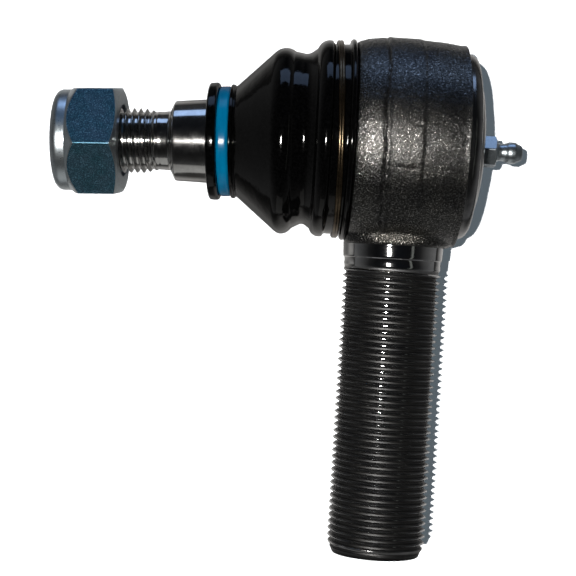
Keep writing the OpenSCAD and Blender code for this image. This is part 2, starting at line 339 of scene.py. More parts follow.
class Shader:
    """A material's node tree, with short calls for the nodes that the materials use."""

    def __init__(self, name, **values):
        self.material = bpy.data.materials.new(name)
        self.material.use_nodes = True
        self.tree = self.material.node_tree
        self.surface = self.tree.nodes["Principled BSDF"]
        self.place = self.tree.nodes.new("ShaderNodeTexCoord").outputs["Object"]
        for key, value in values.items():
            self.surface.inputs[key.replace("_", " ")].default_value = value

    def link(self, source, target):
        """Joins an output socket to an input socket."""
        self.tree.links.new(source, target)

    def set(self, name, source):
        """Gives one of the surface's inputs its value."""
        self.link(source, self.surface.inputs[name])

    def noise(self, size, detail=3, roughness=0.55, stretch=(1, 1, 1)):
        """Smooth noise whose lumps are about size millimetres wide."""
        node = self.tree.nodes.new("ShaderNodeTexNoise")
        node.inputs["Scale"].default_value = 1 / (size * MM)
        node.inputs["Detail"].default_value = detail
        node.inputs["Roughness"].default_value = roughness
        self.link(self.stretched(stretch), node.inputs["Vector"])
        return node.outputs["Fac"]

    def cells(self, size, feature="F1", stretch=(1, 1, 1)):
        """Distance to the nearest of scattered points about size millimetres apart."""
        node = self.tree.nodes.new("ShaderNodeTexVoronoi")
        node.feature = feature
        node.inputs["Scale"].default_value = 1 / (size * MM)
        self.link(self.stretched(stretch), node.inputs["Vector"])
        return node.outputs["Distance"]

    def stretched(self, stretch):
        """The place in object space, stretched along the axes whose number is below 1."""
        if stretch == (1, 1, 1):
            return self.place
        node = self.tree.nodes.new("ShaderNodeMapping")
        node.inputs["Scale"].default_value = stretch
        self.link(self.place, node.inputs["Vector"])
        return node.outputs["Vector"]

    def ramp(self, source, *stops):
        """Colour or grey level along a factor, from (position, value) stops."""
        node = self.tree.nodes.new("ShaderNodeValToRGB")
        points = node.color_ramp.elements
        while len(points) < len(stops):
            points.new(1)
        for point, (position, value) in zip(points, stops):
            point.position = position
            level = value if isinstance(value, tuple) else (value, value, value)
            point.color = (*level, 1)
        self.link(source, node.inputs["Fac"])
        return node.outputs["Color"]

    def mix(self, factor, a, b, mode="MIX"):
        """Mixes two colours. factor may be a number or a socket."""
        node = self.tree.nodes.new("ShaderNodeMix")
        node.data_type, node.blend_type = "RGBA", mode
        for socket, value in ((node.inputs[0], factor), (node.inputs[6], a), (node.inputs[7], b)):
            if isinstance(value, bpy.types.NodeSocket):
                self.link(value, socket)
            else:
                socket.default_value = value if not isinstance(value, tuple) else (*value, 1)
        return node.outputs[2]

    def add(self, a, b, gain=1.0):
        """a + b * gain."""
        node = self.tree.nodes.new("ShaderNodeMath")
        node.operation = "MULTIPLY_ADD"
        self.link(b, node.inputs[0])
        node.inputs[1].default_value = gain
        self.link(a, node.inputs[2])
        return node.outputs[0]

    def math(self, operation, *values):
        """A Math node. Each value may be a number or a socket."""
        node = self.tree.nodes.new("ShaderNodeMath")
        node.operation = operation
        for socket, value in zip(node.inputs, values):
            if isinstance(value, bpy.types.NodeSocket):
                self.link(value, socket)
            else:
                socket.default_value = value
        return node.outputs[0]

    def multiply(self, a, b):
        return self.math("MULTIPLY", a, b)

    def distance(self, centre, reach):
        """Distance from a point, where reach gives the millimetres that count as 1 each way."""
        node = self.tree.nodes.new("ShaderNodeMapping")
        node.vector_type = "TEXTURE"
        node.inputs["Location"].default_value = [c * MM for c in centre]
        node.inputs["Scale"].default_value = [c * MM for c in reach]
        self.link(self.place, node.inputs["Vector"])
        length = self.tree.nodes.new("ShaderNodeVectorMath")
        length.operation = "LENGTH"
        self.link(node.outputs["Vector"], length.inputs[0])
        return length.outputs["Value"]

    def near_point(self, centre, reach, edge):
        """1 inside an ellipsoid, in millimetres, falling to 0 outside it over a ragged edge."""
        ragged = self.add(self.distance(centre, reach), self.noise(3, 3), edge)
        return self.ramp(self.multiply(ragged, 0.5), (0.5, 1.0), (0.72, 0.0))

    def bump(self, height, depth, strength=1.0):
        """Bump of a 0 to 1 height that stands for depth millimetres."""
        node = self.tree.nodes.new("ShaderNodeBump")
        node.inputs["Strength"].default_value = strength
        node.inputs["Distance"].default_value = depth * MM
        self.link(height, node.inputs["Height"])
        return node.outputs["Normal"]


def forged_steel():
    """Shot-blasted forging: dark scale in grains that glint, and a paler scar by the shank."""
    s = Shader("forged_steel", Metallic=1.0, IOR=1.8)
    grains = s.noise(0.5, 4, 0.7)
    pits = s.cells(0.6, "SMOOTH_F1")
    lumps = s.noise(2.6, 3, 0.5)
    stains = s.noise(9, 4, 0.6)
    scar = s.near_point((0.5, -28.5, 0), (12, 4, 60), 0.6)
    tint = s.ramp(stains, (0.3, (0.1, 0.1, 0.102)), (0.55, (0.16, 0.158, 0.152)),
                  (0.75, (0.21, 0.202, 0.19)))
    peaks = s.ramp(grains, (0.4, 0.2), (0.55, 0.65), (0.68, 2.6))
    tint = s.mix(1.0, tint, peaks, "MULTIPLY")
    s.set("Base Color", s.mix(scar, tint, s.mix(1.0, tint, (1.4, 1.37, 1.3), "MULTIPLY")))
    s.set("Roughness", s.ramp(grains, (0.3, 0.42), (0.7, 0.2)))
    height = s.add(s.add(grains, pits, 0.5), lumps, 0.3)
    s.set("Normal", s.bump(s.add(height, s.multiply(height, scar), 1.0), 0.13, 1.0))
    return s.material


def turned_dark_steel():
    """Oiled, turned steel of the shank: fine tool lines, a few specks, and dark, dull thread roots.

    depth is how far a point is past 10 mm from the shank's axis, in units of 10 mm.
    """
    s = Shader("turned_dark_steel", Metallic=1.0, IOR=2.2)
    lines = s.noise(0.09, 2, 0.6, (0.05, 1, 0.05))
    specks = s.cells(1.5)
    film = s.noise(6, 4, 0.65)
    tint = s.ramp(film, (0.3, (0.3, 0.305, 0.318)), (0.7, (0.45, 0.45, 0.447)))
    radius = s.distance((0, 0, 0), (10, 1e6, 10))
    depth = s.math("SUBTRACT", radius, 1.0)
    shade = s.ramp(depth, (0.36, 0.08), (0.43, 0.36), (0.478, 1.0))
    s.set("Base Color", s.mix(1.0, tint, shade, "MULTIPLY"))
    polish = s.ramp(s.add(lines, specks, 0.2), (0.3, 0.03), (0.9, 0.09))
    s.set("Roughness", s.add(polish, s.ramp(depth, (0.45, 0.42), (0.478, 0.0))))
    s.set("Normal", s.bump(lines, 0.008, 0.5))
    return s.material


def bright_steel():
    """Bright turned steel of the stud, with lathe rings and soft stains."""
    s = Shader("bright_steel", Metallic=1.0, IOR=2.5)
    rings = s.noise(0.12, 3, 0.6, (1, 0.06, 0.06))
    stains = s.noise(3, 4, 0.6)
    s.set("Base Color", s.ramp(stains, (0.3, (0.36, 0.358, 0.35)), (0.7, (0.48, 0.48, 0.475))))
    s.set("Roughness", s.ramp(s.add(rings, stains, 0.5), (0.4, 0.05), (1.1, 0.16)))
    s.set("Normal", s.bump(rings, 0.008, 0.4))
    return s.material


def machined_lip():
    """Turned steel of the lip, spigot, cap and sleeve: fine lines round the axis."""
    s = Shader("machined_lip", Metallic=1.0, IOR=2.2)
    rings = s.noise(0.14, 3, 0.6, (1, 0.05, 0.05))
    film = s.noise(4, 3, 0.6)
    s.set("Base Color", s.ramp(film, (0.3, (0.13, 0.132, 0.138)), (0.7, (0.22, 0.22, 0.22))))
    s.set("Roughness", s.ramp(rings, (0.3, 0.12), (0.7, 0.26)))
    s.set("Normal", s.bump(rings, 0.012, 0.6))
    return s.material


def zinc_plate(name="zinc_plate", frost_and_painted_reflection=0.0):
    """Bright zinc with a blue passivate. The second argument makes it the frosted, scratched skin of the
    flats, and also paints shade and a bluish sky reflection into their colour, darker and bluer than the
    chamfers and collar.
    """
    s = Shader(name, Metallic=1.0, IOR=2.4)
    grain = s.noise(0.35, 5, 0.7)
    hairs = s.cells(0.8, "DISTANCE_TO_EDGE", (1, 1.6, 0.7))
    film = s.noise(5, 3, 0.6)
    # on the flats the colour is darker and bluer: painted shade and a painted reflection of the sky
    blue = (0.38 - 0.33 * frost_and_painted_reflection, 0.43 - 0.29 * frost_and_painted_reflection, 0.46 - 0.27 * frost_and_painted_reflection)
    pale = (0.5 - 0.41 * frost_and_painted_reflection, 0.55 - 0.38 * frost_and_painted_reflection, 0.58 - 0.34 * frost_and_painted_reflection)
    light = s.ramp(grain, (0.35, 1 - 0.4 * frost_and_painted_reflection), (0.54, 1.0), (0.66, 1 + 2.2 * frost_and_painted_reflection))
    s.set("Base Color", s.mix(1.0, s.ramp(film, (0.3, blue), (0.7, pale)), light, "MULTIPLY"))
    s.set("Roughness", s.ramp(grain, (0.3, 0.24 + 0.08 * frost_and_painted_reflection), (0.7, 0.4 + 0.08 * frost_and_painted_reflection)))
    s.set("Normal", s.bump(s.add(grain, hairs, 0.3), 0.012 + 0.03 * frost_and_painted_reflection, 0.7))
    return s.material


def boot_rubber():
    """Glossy black moulded rubber with faint ripples and dust."""
    s = Shader("boot_rubber", IOR=1.5, Specular_IOR_Level=0.22)
    ripples = s.noise(5, 3, 0.5, (1, 0.5, 0.5))
    creases = s.noise(1.6, 3, 0.6, (0.35, 1, 1))
    dust = s.noise(0.7, 5, 0.7)
    s.set("Base Color", s.ramp(dust, (0.4, (0.0003, 0.0003, 0.0003)), (0.8, (0.0032, 0.0032, 0.0034))))
    s.set("Roughness", s.ramp(dust, (0.35, 0.05), (0.75, 0.13)))
    s.set("Normal", s.bump(s.add(ripples, creases, 0.22), 0.26, 0.5))
    return s.material


def blue_plastic():
    """Blue moulded tension ring."""
    s = Shader("blue_plastic", IOR=1.48, Specular_IOR_Level=0.2)
    streaks = s.noise(2.5, 4, 0.6, (1, 0.3, 0.3))
    grain = s.noise(0.4, 3, 0.6)
    s.set("Base Color", s.ramp(streaks, (0.3, (0.0, 0.12, 0.26)), (0.7, (0.0, 0.17, 0.35))))
    s.set("Roughness", s.ramp(grain, (0.3, 0.14), (0.7, 0.24)))
    s.set("Normal", s.bump(s.add(streaks, grain, 0.2), 0.03, 0.5))
    return s.material


def bronze_wire():
    """Oiled spring wire with a brown film."""
    s = Shader("bronze_wire", Metallic=1.0, IOR=1.8)
    film = s.noise(2.4, 4, 0.65)
    scratches = s.noise(0.12, 2, 0.6)
    s.set("Base Color", s.ramp(film, (0.3, (0.04, 0.03, 0.018)), (0.7, (0.15, 0.11, 0.07))))
    s.set("Roughness", s.ramp(scratches, (0.3, 0.16), (0.7, 0.34)))
    s.set("Normal", s.bump(scratches, 0.01, 0.5))
    return s.material


def spring_wire():
    """Drawn steel of the springs."""
    s = Shader("spring_wire", Metallic=1.0, IOR=2.2)
    draw = s.noise(0.4, 4, 0.7)
    s.set("Base Color", s.ramp(draw, (0.3, (0.16, 0.165, 0.175)), (0.7, (0.36, 0.36, 0.36))))
    s.set("Roughness", s.ramp(draw, (0.3, 0.22), (0.7, 0.42)))
    s.set("Normal", s.bump(draw, 0.01, 0.4))
    return s.material


def moulded(name, dark, light, gloss=0.4):
    """Moulded plastic with flow marks and a fine grain."""
    s = Shader(name, IOR=1.5)
    flow = s.noise(4, 4, 0.6)
    grain = s.noise(0.3, 3, 0.6)
    s.set("Base Color", s.ramp(flow, (0.3, dark), (0.7, light)))
    s.set("Roughness", s.ramp(grain, (0.3, gloss - 0.08), (0.7, gloss + 0.12)))
    s.set("Normal", s.bump(s.add(grain, flow, 0.5), 0.02, 0.5))
    return s.material


FORGED = forged_steel()
SHANK_STEEL = turned_dark_steel()
LIP_STEEL = machined_lip()
BRIGHT = bright_steel()
ZINC = zinc_plate()
# the flats' copy of the zinc, with painted shade and a painted sky reflection in its colour
ZINC_FLATS = zinc_plate("zinc_flats", 1.0)
RUBBER = boot_rubber()
BLUE = blue_plastic()
BRONZE = bronze_wire()
SPRING = spring_wire()
RACE = moulded("race_plastic", (0.62, 0.6, 0.52), (0.78, 0.76, 0.68))
NYLON = moulded("nylon", (0.5, 0.48, 0.4), (0.68, 0.66, 0.58), 0.3)


# ---------------------------------------------------------------- housing

def boss_height(x, turn):
    """Radius, about X, of the boss's flat end at the shank's root, and the distance past its rim.

    turn is the angle from the shank's side, about X.
    """
    cut = ROOT_FROM / np.maximum(np.cos(turn), 0.5)
    off = np.hypot(x, cut * np.sin(turn)) - ROOT_R
    return cut, off


def head_outline():
    """Outside of the forged barrel, from the spigot to the rolled lip, as (x, radius)."""
    rise = [(HEAD_FRONT, HEAD_FRONT_R - 1.2), (HEAD_FRONT + 0.35, HEAD_FRONT_R - 0.3),
            (HEAD_FRONT + 1.2, HEAD_FRONT_R + 0.1)]
    front = [(x, HEAD_R - (HEAD_R - HEAD_FRONT_R) * ((x + 1) / (HEAD_FRONT + 1)) ** 2)
             for x in range(-12, 0, 2)]
    back = [(x, HEAD_R - (HEAD_R - HEAD_BACK_R) * (x / HEAD_BACK) ** 2)
            for x in (*range(0, 17, 2), HEAD_BACK)]
    return rise + front + back


def step_lines(x, turn):
    """Height of the flash line, the die's step and small creases that run round the barrel."""
    wander = 0.45 * np.sin(turn * 3.1) + 0.25 * np.sin(turn * 7.7 + 1) + 0.12 * np.sin(turn * 23)
    ridge = 0.2 * np.exp(-((x + 5.3 - wander) / 0.6) ** 2)
    flash = ridge - 0.34 * np.exp(-((x + 6.4 - wander) / 0.26) ** 2)
    step = 0.22 * smooth((x - 4.3 - 0.3 * wander) / 0.9)
    creases = 0
    # each crease lies at an angle about X, between two values of X
    for angle, start, end in ((107, -4, 4), (120, -8, 3), (84, 1, 5), (196, -6, 5), (287, -3, 6)):
        along = smooth((x - start) / 1.5) * smooth((end - x) / 1.5)
        away = (turn - math.radians(angle) - 0.004 * np.sin(x)) * HEAD_R
        creases = creases + 0.15 * along * np.exp(-(away / 0.35) ** 2)
    return flash - step - creases


def barrel_rings(sides=480, step=0.35):
    """The forged barrel with the boss, flash line and rough skin, as rings about X."""
    outline = np.array(dense(head_outline(), step))
    turn = np.linspace(0, 2 * np.pi, sides, endpoint=False)
    from_shank = np.abs(np.angle(np.exp(1j * (turn - np.pi))))
    x = outline[:, :1]
    radius = outline[:, 1:] + np.zeros((1, sides))
    edge = smooth((x - HEAD_FRONT - 1) / 2) * smooth((HEAD_BACK - x) / 1.5)
    radius = radius + step_lines(x, turn) * edge
    cut, off = boss_height(x, from_shank)
    near = (np.cos(from_shank) > 0.6) * smooth((3.0 - off) / 3.0)
    radius = np.maximum(radius, radius + (cut - radius) * near)
    rings = np.empty((len(outline), sides, 3))
    rings[:, :, 0] = x
    rings[:, :, 1] = radius * np.cos(turn)
    rings[:, :, 2] = radius * np.sin(turn)
    return rough(rough(rings, 5.5, 0.12, 1), 1.6, 0.05, 2)


def housing_loop(sides=480):
    """The whole socket as one closed loop of rings, with a material index for each row."""
    barrel = barrel_rings(sides)
    spigot = [(SPIGOT_END, 20.6), (SPIGOT_END, SPIGOT_R - 0.6), (SPIGOT_END + 0.6, SPIGOT_R),
              (HEAD_FRONT - 0.05, SPIGOT_R), (HEAD_FRONT - 0.02, HEAD_FRONT_R - 1.6)]
    lip = [(HEAD_BACK + 0.15, HEAD_BACK_R - 0.4), (HEAD_BACK + 0.2, LIP_R + 0.3),
           (HEAD_BACK + 0.45, LIP_R)]
    lip += arc((LIP_END - LIP_EDGE, LIP_R - LIP_EDGE), LIP_EDGE, 82, 8, 10)
    seat, groove = CAP_X + CAP_THICK, CAP_X - SEAL_DEPTH
    lip += [(LIP_END, LIP_INNER_R + 0.3), (LIP_END - 0.2, LIP_INNER_R), (seat, LIP_INNER_R),
            (seat, CAP_R + 0.05), (CAP_X, CAP_R + 0.05), (CAP_X, SEAL_GROOVE[1]), (groove, SEAL_GROOVE[1]),
            (groove, SEAL_GROOVE[0]), (CAP_X, SEAL_GROOVE[0]), (CAP_X, BEARING_R),
            (BEARING_FROM, BEARING_R), (BEARING_FROM, OPENING_R)]
    before = around_x(dense(rounded(spigot, 0.2), 1.5), sides)
    after = around_x(dense(rounded(lip, 0.15, 2), 1.2), sides)
    rings = np.concatenate([before, barrel, after])
    # one material index for each row of faces: 0 on the forged barrel and 1 elsewhere
    index = np.array([1] * (len(before) - 1) + [0] * len(barrel) + [1] * (len(after) + 1))
    return rings, index


def shank_rings(sides=160):
    """Machined root, neck and thread of the shank, as rings about -Y."""
    root = dense([(27, 0), (27, ROOT_R), (ROOT_FROM + 0.2, ROOT_R), (ROOT_FROM + 0.6, ROOT_R - 0.05),
                  (NECK_FROM - 0.3, ROOT_R - 0.2), (NECK_FROM - 0.1, ROOT_R - 0.3),
                  (NECK_FROM, NECK_R + 0.1), (NECK_FROM + 0.2, NECK_R)], 0.5)
    start, end = SHANK_THREAD
    at, radius = thread_rows(
        start, SHANK_END - 0.01, sides,
        root=lambda s: NECK_R + (SHANK_R - THREAD_DEPTH - NECK_R) * smooth((s - start) / 4),
        crest=lambda s: NECK_R + (SHANK_R - NECK_R) * smooth((s - start) / 4),
        blank=lambda s: SHANK_R - (SHANK_R - SHANK_TIP_R) * np.maximum(s - end, 0) / (SHANK_END - end),
    )
    tip = [(SHANK_END, SHANK_TIP_R - 0.4), (SHANK_END, 3.2), (SHANK_END - 2.4, 1.8), (SHANK_END - 2.4, 0)]
    turn = np.linspace(0, 2 * np.pi, sides + 1)
    down = np.concatenate([spread(root, sides + 1, 0), at, spread(tip, sides + 1, 0)])
    out = np.concatenate([spread(root, sides + 1, 1), radius, spread(tip, sides + 1, 1)])
    # seen from the tip the columns turn clockwise, so this thread is left-hand
    return np.stack([out * np.cos(turn), -down, -out * np.sin(turn)], axis=-1)


def spread(outline, sides, column):
    """One column of an outline, repeated for every side."""
    return np.repeat(np.array(outline)[:, column:column + 1], sides, axis=1)


def housing():
    socket, index = housing_loop()
    piece = skin_piece("forged_housing", [(socket, "loop", index), (shank_rings(), "helix", 2)],
                       [FORGED, LIP_STEEL, SHANK_STEEL], 50)
    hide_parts("housing")
    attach(piece, "housing")


# ---------------------------------------------------------------- ball stud

def stud_rings(sides=144):
    """Ball, neck, seat, taper, undercut and thread, as rings about the stud."""
    ball = [(-15.6, 0), (-15.6, 8.5)] + arc((0, 0), BALL_R, 150, 36, 24)
    plain = ball + [(38, STUD_NECK_R), (44, SEAT_R), TAPER[:1] + (SEAT_R,), (TAPER[1], TAPER_SMALL_R),
                    (TAPER[1] + 1.5, UNDERCUT_R + 0.2), (STUD_THREAD[0] - 0.2, UNDERCUT_R)]
    plain = dense(rounded(plain, 0.35, 4), 0.6)
    start, end = STUD_THREAD
    at, radius = thread_rows(
        start, STUD_END - 0.01, sides,
        root=lambda s: UNDERCUT_R + (STUD_R - THREAD_DEPTH - UNDERCUT_R) * smooth((s - start) / 3),
        crest=lambda s: UNDERCUT_R + (STUD_R - UNDERCUT_R) * smooth((s - start) / 6),
        blank=lambda s: STUD_R - (STUD_R - STUD_TIP_R) * np.maximum(s - end, 0) / (STUD_END - end),
    )
    tip = [(STUD_END, STUD_TIP_R - 0.3), (STUD_END, 2.6), (STUD_END - 2, 1.4), (STUD_END - 2, 0)]
    turn = np.linspace(0, 2 * np.pi, sides + 1)
    reach = np.concatenate([spread(plain, sides + 1, 0), at, spread(tip, sides + 1, 0)])
    out = np.concatenate([spread(plain, sides + 1, 1), radius, spread(tip, sides + 1, 1)])
    # seen from the tip the columns turn counter-clockwise, so this thread is right-hand
    rings = np.stack([-reach, out * np.cos(turn), -out * np.sin(turn)], axis=-1)
    return rings @ np.array(STUD_TURN).T


def ball_stud():
    piece = skin_piece("turned_ball_stud", [(stud_rings(), "helix", 0)], [BRIGHT], 50)
    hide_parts("ball_stud")
    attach(piece, "stud")


# ---------------------------------------------------------------- lock nut

def soft_min(a, b, blend):
    """The smaller of two radii, with the corner between them rounded."""
    h = np.clip(0.5 + 0.5 * (b - a) / blend, 0, 1)
    return b + (a - b) * h - blend * h * (1 - h)


def hexagon_rings(outline, flats, first, sides, edge):
    """Rings about X of a hexagonal bar cut to an outline, with soft edges.

    first is the angle of a corner from +Y.
    """
    turn = np.linspace(0, 2 * np.pi, sides, endpoint=False)
    x, r = np.array(outline).T
    radius = np.full((len(x), sides), 1e3)
    for k in range(6):
        away = np.cos(turn - first - math.pi / 6 - k * math.pi / 3)
        flat = np.where(away > 0.2, flats / 2 / np.maximum(away, 0.2), 1e3)
        radius = soft_min(radius, flat[None, :], edge)
    radius = soft_min(radius, r[:, None], edge)
    rings = np.empty((len(x), sides, 3))
    rings[:, :, 0] = x[:, None]
    rings[:, :, 1] = radius * np.cos(turn)
    rings[:, :, 2] = radius * np.sin(turn)
    return rings


def nut_skin(sides=480):
    """Bearing face, hexagon, chamfers, collar rolled over the insert, and bore, as one loop."""
    half = NUT_FLATS / 2
    corner = half / math.cos(math.pi / 6)
    hexagon = [(NUT_FACE, half - 0.8), (NUT_FACE + NUT_CHAMFERS[0], corner + 0.25),
               (NUT_HEX_END - NUT_CHAMFERS[1], corner + 0.25), (NUT_HEX_END - 0.1, half - 0.45)]
    face = [(NUT_FACE + 1.0, NUT_BORE_R), (NUT_FACE, NUT_BORE_R + 1.0), (NUT_FACE, half - 1.0)]
    collar = [(NUT_HEX_END + 0.1, NUT_COLLAR_R), (NUT_END - 2.4, NUT_COLLAR_R)]
    collar += arc((NUT_END - 2.4, NUT_COLLAR_R - 2.4), 2.4, 80, 10, 8)
    collar += [(NUT_END, 12.4), (NUT_END - 0.3, 11.5), (NUT_END - 0.9, 11.4),
               (INSERT[1] + 0.1, INSERT_R + 0.05), (INSERT[0] - 0.1, INSERT_R + 0.05),
               (INSERT[0] - 0.1, NUT_BORE_R)]
    bore = dense([(INSERT[0] - 0.1, NUT_BORE_R), (NUT_FACE + 1.0, NUT_BORE_R)], 1)
    hexagon = dense(rounded(hexagon, 0.2), 0.2)
    parts = [around_x(dense(rounded(face, 0.2), 0.7), sides),
             hexagon_rings(hexagon, NUT_FLATS, NUT_TURN - math.pi / 2, sides, 0.2),
             around_x(dense(rounded(collar, 0.2), 0.5), sides), around_x(bore, sides)]
    rings = np.concatenate(parts)
    rings[:, :, 0] *= -1
    return rings @ np.array(STUD_TURN).T


def mark_flats(piece):
    """Gives the hexagon's flats, and the edges between them, the second material."""
    normals = [STUD_TURN @ Vector((0, math.cos(a), math.sin(a)))
               for a in (NUT_TURN + math.radians(60 * k) for k in range(6))]
    for face in piece.data.polygons:
        out = max(normals, key=face.normal.dot)
        level = abs(face.normal.dot(STUD_OUT)) < 0.03
        if level and face.center.dot(out) > (NUT_FLATS / 2 - 0.3) * MM:
            face.material_index = 1


def lock_nut():
    piece = skin_piece("collar_nut", [(nut_skin(), "loop", 0)], [ZINC, ZINC_FLATS], 60)
    mark_flats(piece)
    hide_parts("lock_nut")
    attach(piece, "lock_nut")


def nut_insert():
    low, high = INSERT
    inner = NUT_BORE_R - 0.01
    outline = rounded([(low, inner), (low, INSERT_R), (high, INSERT_R), (high, inner)], 0.3, 3, closed=True)
    piece = skin_piece("nylon_insert", [(along_stud(dense(outline, 0.6, True), 120), "loop", 0)], [NYLON])
    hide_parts("nut_insert")
    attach(piece, "nut_carrier")


# ---------------------------------------------------------------- boot

def boot_outline():
    """The rubber's outside from the bead on the spigot to the small end, then its inside."""
    outside = arc((16.0, 29.9), 0.9, 180, 0, 8)
    outside += [(16.95, 29.1), (21.8, 29.05)]
    outside += arc((23.2, 26.7), 3.4, 104, 15, 12)
    outside += arc((29.3, 28.6), 2.5, 240, 300, 8)
    outside += arc((35.6, 24.5), 4, 140, 50, 12)
    outside += [(50.2, 16.9), (50.6, 17.5), (GROOVE[0], 17.6), (GROOVE[0] + 0.05, GROOVE_R),
                (GROOVE[1], GROOVE_R), (GROOVE[1] + 0.05, 17.7), (56.0, 18.1), (58.0, 18), (58.4, 17.5),
                (58.4, 14.1)]
    inside = [(46, 14.1), (45.4, 21.4 - BOOT_WALL)] + arc((35.6, 24.5), 4 - BOOT_WALL, 50, 140, 6)
    inside += [(29.3, 26.1 - BOOT_WALL)] + arc((23.2, 26.7), 3.4 - BOOT_WALL, 15, 90, 6)
    inside += [(22.1, SPIGOT_R + 0.12), (15.1, SPIGOT_R + 0.12)]
    return outside, inside


def bent(rings):
    """Bends rings about X so that the far end follows the stud's lean."""
    out = rings.copy()
    reach = -rings[:, :1, 0]
    share = smooth((reach - BOOT_BEND[0]) / (BOOT_BEND[1] - BOOT_BEND[0]))
    for i in range(len(rings)):
        turn = Matrix.Rotation(STUD_LEAN * float(share[i, 0]), 3, LEAN_AXIS)
        out[i] = rings[i] @ np.array(turn).T
    return out


def dust_boot():
    outside, inside = boot_outline()
    outline = dense(rounded(outside + inside, 0.35, 3, closed=True), 0.6, True)
    rings = around_x([(-x, r) for x, r in outline], 144)
    piece = skin_piece("rubber_boot", [(bent(rings), "loop", 0)], [RUBBER], 60)
    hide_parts("dust_boot")
    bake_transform(piece)


def boot_ring():
    low, high = GROOVE[0] + 0.05, GROOVE[1] - 0.05
    outline = [(low, GROOVE_R + 0.05), (low, RING_R - 0.5), (low + 0.6, RING_R - 0.05),
               (high - 0.6, RING_R - 0.05), (high, RING_R - 0.5), (high, GROOVE_R + 0.05)]
    outline = dense(rounded(outline, 0.4, 4, closed=True), 0.4, True)
    piece = skin_piece("blue_ring", [(along_stud(outline, 144), "loop", 0)], [BLUE], 60)
    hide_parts("boot_ring")
    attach(piece, "boot_neck")


def wire(path, radius, sides=12):
    """Rings of a round wire that follows a path of points, with closed ends."""
    path = np.array(path)
    ahead = np.gradient(path, axis=0)
    ahead /= np.linalg.norm(ahead, axis=1)[:, None]
    side = np.cross(ahead, (1, 0, 0))
    side /= np.linalg.norm(side, axis=1)[:, None]
    up = np.cross(side, ahead)
    turn = np.linspace(0, 2 * np.pi, sides, endpoint=False)
    rings = path[:, None] + radius * (
        side[:, None] * np.cos(turn)[None, :, None] + up[:, None] * np.sin(turn)[None, :, None])
    return np.concatenate([np.repeat(path[:1, None], sides, axis=1), rings,
                           np.repeat(path[-1:, None], sides, axis=1)])


def coil(radius, x0, x1, turns, first=0.0, per_turn=72):
    """Points of a helix about X."""
    t = np.linspace(0, 1, int(turns * per_turn) + 1)
    a = first + 2 * np.pi * turns * t
    return np.stack([x0 + (x1 - x0) * t, radius * np.cos(a), radius * np.sin(a)], axis=-1)


def boot_clamp_wire():
    low, high = CLAMP_REACHES
    path = coil(CLAMP_R, -low, -high, 2, -math.pi / 2, 96)
    lean = np.array(Matrix.Rotation(math.radians(CLAMP_LEAN), 3, "Z"))
    middle = np.array([-(low + high) / 2, 0, 0])
    path = (path - middle) @ lean.T + middle
    piece = skin_piece("clamp_wire", [(wire(path, CLAMP_WIRE_R), "tube", 0)], [BRONZE], 60)
    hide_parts("boot_clamp_wire")
    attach(piece, "housing")


# ---------------------------------------------------------------- cap and grease nipple

def closing_cap():
    low, high = CAP_X + 0.02, CAP_X + 2.08
    outline = [(low, CAP_HOLE_R), (low, CAP_R - 0.02), (high, CAP_R - 0.02), (high, LIP_INNER_R - 0.7),
               (NIPPLE_BASE - 0.75, 19.5), (NIPPLE_BASE - 0.2, 17.2), (NIPPLE_BASE, 15),
               (NIPPLE_BASE, CAP_HOLE_R)]
    outline = dense(rounded(outline, 0.5, 4, closed=True), 0.8, True)
    rings = around_x(outline, 160)
    # the hole follows the nipple, off the middle, and the rim stays where it is
    near_hole = smooth((12 - np.hypot(rings[:, :, 1], rings[:, :, 2])) / 8)
    rings[:, :, 1] -= NIPPLE_OFFSET * near_hole
    piece = skin_piece("pressed_cap", [(rings, "loop", 0)], [LIP_STEEL], 60)
    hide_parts("closing_cap")
    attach(piece, "housing")


def grease_nipple(sides=144):
    base, end, tip = NIPPLE_BASE, NIPPLE_HEX_END, NIPPLE_TIP
    wide = NIPPLE_FLATS * 0.62
    hexagon = [(base + 0.02, 4.6), (base + 0.5, wide), (end - 1.0, wide), (end - 0.25, 4.35)]
    head = [(end, 3.0), (end + 0.4, 2.75), (end + 1.3, 2.6), (end + 2.5, 2.75),
            (end + 3.6, NIPPLE_HEAD_R - 0.05), (end + 4.4, NIPPLE_HEAD_R + 0.05), (tip - 2.2, NIPPLE_HEAD_R),
            (tip - 1.1, 2.65), (tip - 0.3, 2.35), (tip, 2.05), (tip, 1.0)]
    bore = [(tip - 0.35, 0.85), (tip - 1, 1.5), (CAP_X + 0.2, 1.5), (CAP_X + 0.2, 3.4), (CAP_X + 0.8, 4),
            (base, 4)]
    hexagon = dense(rounded(hexagon, 0.15), 0.2)
    parts = [hexagon_rings(hexagon, NIPPLE_FLATS, math.pi / 2 - NIPPLE_TURN, sides, 0.2),
             around_x(dense(rounded(head, 0.35), 0.25), sides), around_x(dense(bore, 0.8), sides)]
    rings = np.concatenate(parts) - np.array([0, NIPPLE_OFFSET, 0])
    piece = skin_piece("nipple", [(rings, "loop", 0)], [ZINC], 60)
    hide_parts("grease_nipple")
    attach(piece, "housing")


# ---------------------------------------------------------------- pieces inside

def spring(name, node, sizes):
    """A coil spring about X in the CAD spring's place."""
    wire_r, turns, travel, fixed_x = sizes
    low, high = node_box(node)
    middle = (low + high) / 2
    path = coil((high.z - low.z) / 2 - wire_r, low.x + wire_r, high.x - wire_r, turns)
    path[:, 1] += middle.y
    piece = skin_piece(name, [(wire(path, wire_r), "tube", 0)], [SPRING], 60)
    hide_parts(node)
    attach(piece, "housing")
    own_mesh(piece)


def hidden_nodes():
    """Procedural materials for the CAD nodes that stay."""
    looks = {"cap_seal": RUBBER, "nipple_ball": BRIGHT, "spring_plate": BRIGHT, "lower_race": RACE,
             "upper_race": RACE, "boot_neck_sleeve": LIP_STEEL}
    for node, look in looks.items():
        materials = frame["nodes"][node].data.materials
        materials.clear()
        materials.append(look)


